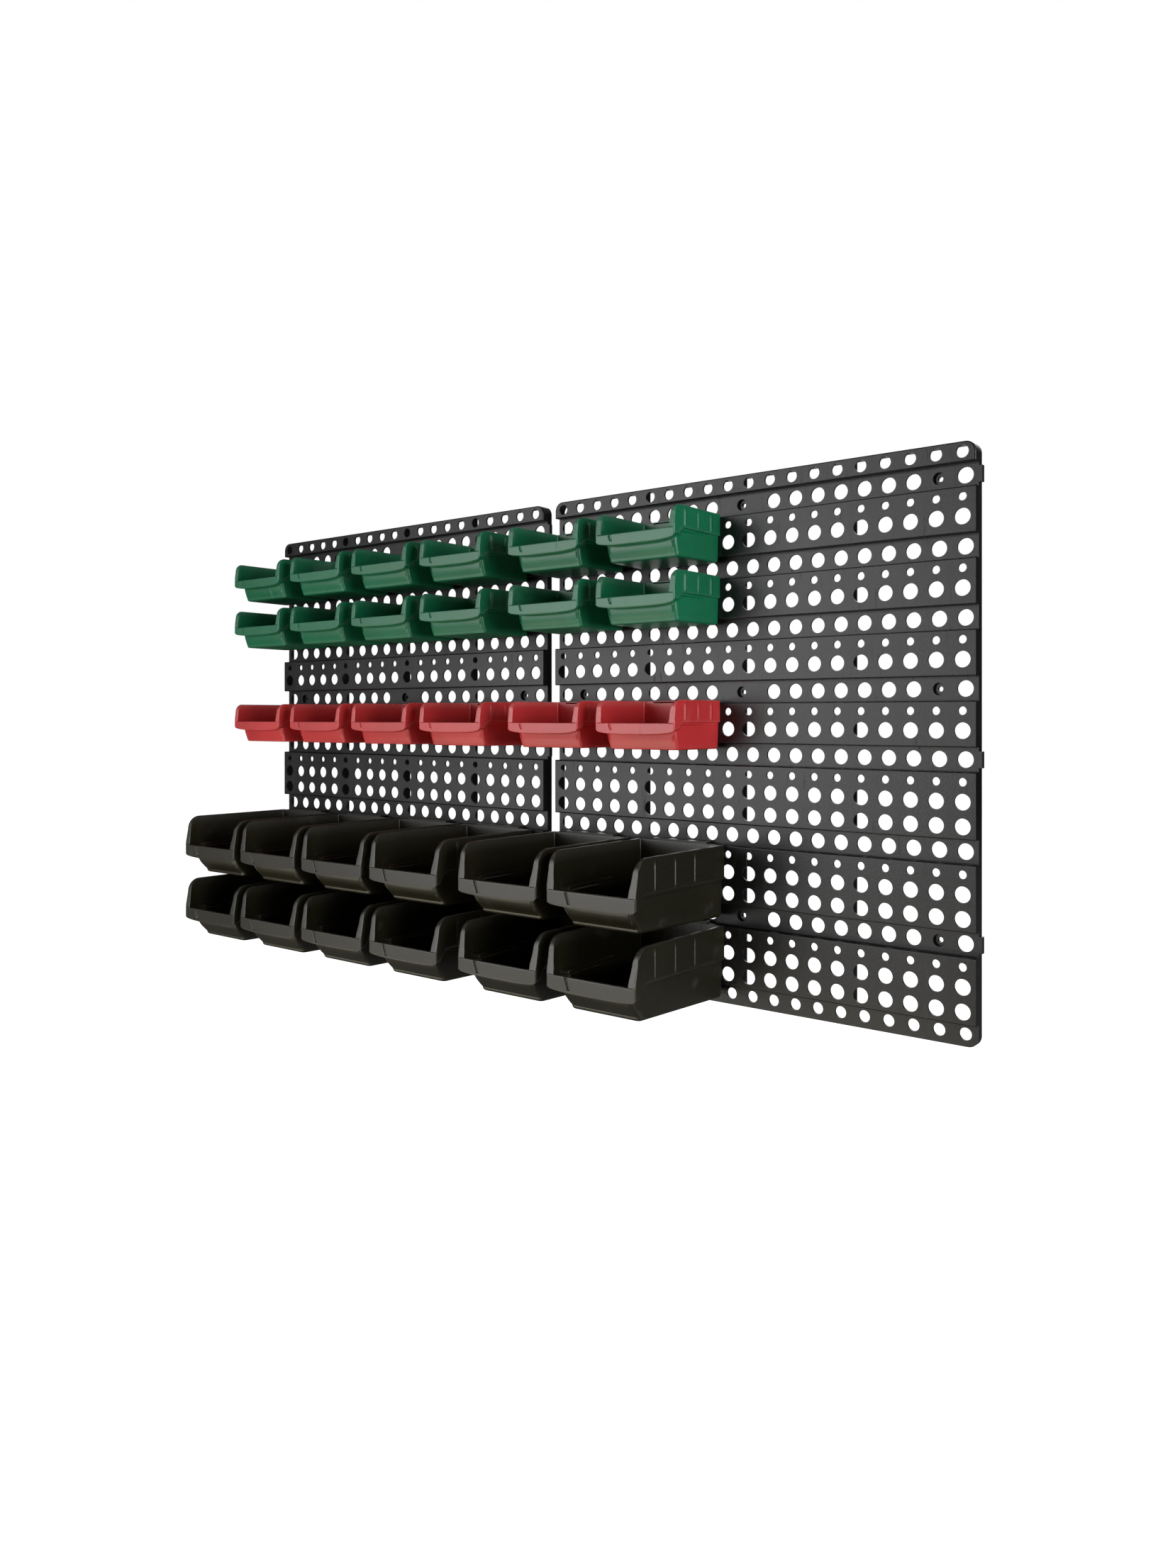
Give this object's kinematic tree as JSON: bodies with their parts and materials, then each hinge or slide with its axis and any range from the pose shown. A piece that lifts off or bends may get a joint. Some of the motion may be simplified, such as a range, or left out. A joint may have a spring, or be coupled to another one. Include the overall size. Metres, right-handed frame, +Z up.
{
  "type": "pegboard tool wall",
  "caption": "Two stepped, perforated wall panels side by side with rows of open-fronted storage bins hooked over their raised bands.",
  "frame": {"origin": "on the wall plane, midway between the four outermost screw holes", "axes": "+X along the wall to the right, -Y out of the wall towards the user, +Z up"},
  "size_m": [0.9011, 0.1553, 0.4909],
  "materials": {
    "panel_plastic": "fine moulded grain, satin",
    "green_plastic": "moulded, semi-gloss",
    "red_plastic": "moulded, semi-gloss",
    "black_plastic": "moulded, semi-gloss"
  },
  "bodies": {
    "wall_panels": {"panel_left": "panel_plastic", "panel_right": "panel_plastic"},
    "green_bin_upper_1": {"green_bin_upper_1": "green_plastic"},
    "green_bin_upper_2": {"green_bin_upper_2": "green_plastic"},
    "green_bin_upper_3": {"green_bin_upper_3": "green_plastic"},
    "green_bin_upper_4": {"green_bin_upper_4": "green_plastic"},
    "green_bin_upper_5": {"green_bin_upper_5": "green_plastic"},
    "green_bin_upper_6": {"green_bin_upper_6": "green_plastic"},
    "green_bin_lower_1": {"green_bin_lower_1": "green_plastic"},
    "green_bin_lower_2": {"green_bin_lower_2": "green_plastic"},
    "green_bin_lower_3": {"green_bin_lower_3": "green_plastic"},
    "green_bin_lower_4": {"green_bin_lower_4": "green_plastic"},
    "green_bin_lower_5": {"green_bin_lower_5": "green_plastic"},
    "green_bin_lower_6": {"green_bin_lower_6": "green_plastic"},
    "red_bin_1": {"red_bin_1": "red_plastic"},
    "red_bin_2": {"red_bin_2": "red_plastic"},
    "red_bin_3": {"red_bin_3": "red_plastic"},
    "red_bin_4": {"red_bin_4": "red_plastic"},
    "red_bin_5": {"red_bin_5": "red_plastic"},
    "red_bin_6": {"red_bin_6": "red_plastic"},
    "black_bin_upper_1": {"black_bin_upper_1": "black_plastic"},
    "black_bin_upper_2": {"black_bin_upper_2": "black_plastic"},
    "black_bin_upper_3": {"black_bin_upper_3": "black_plastic"},
    "black_bin_upper_4": {"black_bin_upper_4": "black_plastic"},
    "black_bin_upper_5": {"black_bin_upper_5": "black_plastic"},
    "black_bin_upper_6": {"black_bin_upper_6": "black_plastic"},
    "black_bin_lower_1": {"black_bin_lower_1": "black_plastic"},
    "black_bin_lower_2": {"black_bin_lower_2": "black_plastic"},
    "black_bin_lower_3": {"black_bin_lower_3": "black_plastic"},
    "black_bin_lower_4": {"black_bin_lower_4": "black_plastic"},
    "black_bin_lower_5": {"black_bin_lower_5": "black_plastic"},
    "black_bin_lower_6": {"black_bin_lower_6": "black_plastic"}
  },
  "joints": [
    {"name": "green_bin_upper_1_lift", "type": "slide", "parent": "wall_panels", "child": "green_bin_upper_1", "axis": [0, 0, 1], "range_m": [0, 0.005]},
    {"name": "green_bin_upper_2_lift", "type": "slide", "parent": "wall_panels", "child": "green_bin_upper_2", "axis": [0, 0, 1], "range_m": [0, 0.005]},
    {"name": "green_bin_upper_3_lift", "type": "slide", "parent": "wall_panels", "child": "green_bin_upper_3", "axis": [0, 0, 1], "range_m": [0, 0.005]},
    {"name": "green_bin_upper_4_lift", "type": "slide", "parent": "wall_panels", "child": "green_bin_upper_4", "axis": [0, 0, 1], "range_m": [0, 0.005]},
    {"name": "green_bin_upper_5_lift", "type": "slide", "parent": "wall_panels", "child": "green_bin_upper_5", "axis": [0, 0, 1], "range_m": [0, 0.005]},
    {"name": "green_bin_upper_6_lift", "type": "slide", "parent": "wall_panels", "child": "green_bin_upper_6", "axis": [0, 0, 1], "range_m": [0, 0.005]},
    {"name": "green_bin_lower_1_lift", "type": "slide", "parent": "wall_panels", "child": "green_bin_lower_1", "axis": [0, 0, 1], "range_m": [0, 0.005]},
    {"name": "green_bin_lower_2_lift", "type": "slide", "parent": "wall_panels", "child": "green_bin_lower_2", "axis": [0, 0, 1], "range_m": [0, 0.005]},
    {"name": "green_bin_lower_3_lift", "type": "slide", "parent": "wall_panels", "child": "green_bin_lower_3", "axis": [0, 0, 1], "range_m": [0, 0.005]},
    {"name": "green_bin_lower_4_lift", "type": "slide", "parent": "wall_panels", "child": "green_bin_lower_4", "axis": [0, 0, 1], "range_m": [0, 0.005]},
    {"name": "green_bin_lower_5_lift", "type": "slide", "parent": "wall_panels", "child": "green_bin_lower_5", "axis": [0, 0, 1], "range_m": [0, 0.005]},
    {"name": "green_bin_lower_6_lift", "type": "slide", "parent": "wall_panels", "child": "green_bin_lower_6", "axis": [0, 0, 1], "range_m": [0, 0.005]},
    {"name": "red_bin_1_lift", "type": "slide", "parent": "wall_panels", "child": "red_bin_1", "axis": [0, 0, 1], "range_m": [0, 0.005]},
    {"name": "red_bin_2_lift", "type": "slide", "parent": "wall_panels", "child": "red_bin_2", "axis": [0, 0, 1], "range_m": [0, 0.005]},
    {"name": "red_bin_3_lift", "type": "slide", "parent": "wall_panels", "child": "red_bin_3", "axis": [0, 0, 1], "range_m": [0, 0.005]},
    {"name": "red_bin_4_lift", "type": "slide", "parent": "wall_panels", "child": "red_bin_4", "axis": [0, 0, 1], "range_m": [0, 0.005]},
    {"name": "red_bin_5_lift", "type": "slide", "parent": "wall_panels", "child": "red_bin_5", "axis": [0, 0, 1], "range_m": [0, 0.005]},
    {"name": "red_bin_6_lift", "type": "slide", "parent": "wall_panels", "child": "red_bin_6", "axis": [0, 0, 1], "range_m": [0, 0.005]},
    {"name": "black_bin_upper_1_lift", "type": "slide", "parent": "wall_panels", "child": "black_bin_upper_1", "axis": [0, 0, 1], "range_m": [0, 0.005]},
    {"name": "black_bin_upper_2_lift", "type": "slide", "parent": "wall_panels", "child": "black_bin_upper_2", "axis": [0, 0, 1], "range_m": [0, 0.005]},
    {"name": "black_bin_upper_3_lift", "type": "slide", "parent": "wall_panels", "child": "black_bin_upper_3", "axis": [0, 0, 1], "range_m": [0, 0.005]},
    {"name": "black_bin_upper_4_lift", "type": "slide", "parent": "wall_panels", "child": "black_bin_upper_4", "axis": [0, 0, 1], "range_m": [0, 0.005]},
    {"name": "black_bin_upper_5_lift", "type": "slide", "parent": "wall_panels", "child": "black_bin_upper_5", "axis": [0, 0, 1], "range_m": [0, 0.005]},
    {"name": "black_bin_upper_6_lift", "type": "slide", "parent": "wall_panels", "child": "black_bin_upper_6", "axis": [0, 0, 1], "range_m": [0, 0.005]},
    {"name": "black_bin_lower_1_lift", "type": "slide", "parent": "wall_panels", "child": "black_bin_lower_1", "axis": [0, 0, 1], "range_m": [0, 0.005]},
    {"name": "black_bin_lower_2_lift", "type": "slide", "parent": "wall_panels", "child": "black_bin_lower_2", "axis": [0, 0, 1], "range_m": [0, 0.005]},
    {"name": "black_bin_lower_3_lift", "type": "slide", "parent": "wall_panels", "child": "black_bin_lower_3", "axis": [0, 0, 1], "range_m": [0, 0.005]},
    {"name": "black_bin_lower_4_lift", "type": "slide", "parent": "wall_panels", "child": "black_bin_lower_4", "axis": [0, 0, 1], "range_m": [0, 0.005]},
    {"name": "black_bin_lower_5_lift", "type": "slide", "parent": "wall_panels", "child": "black_bin_lower_5", "axis": [0, 0, 1], "range_m": [0, 0.005]},
    {"name": "black_bin_lower_6_lift", "type": "slide", "parent": "wall_panels", "child": "black_bin_lower_6", "axis": [0, 0, 1], "range_m": [0, 0.005]}
  ]
}
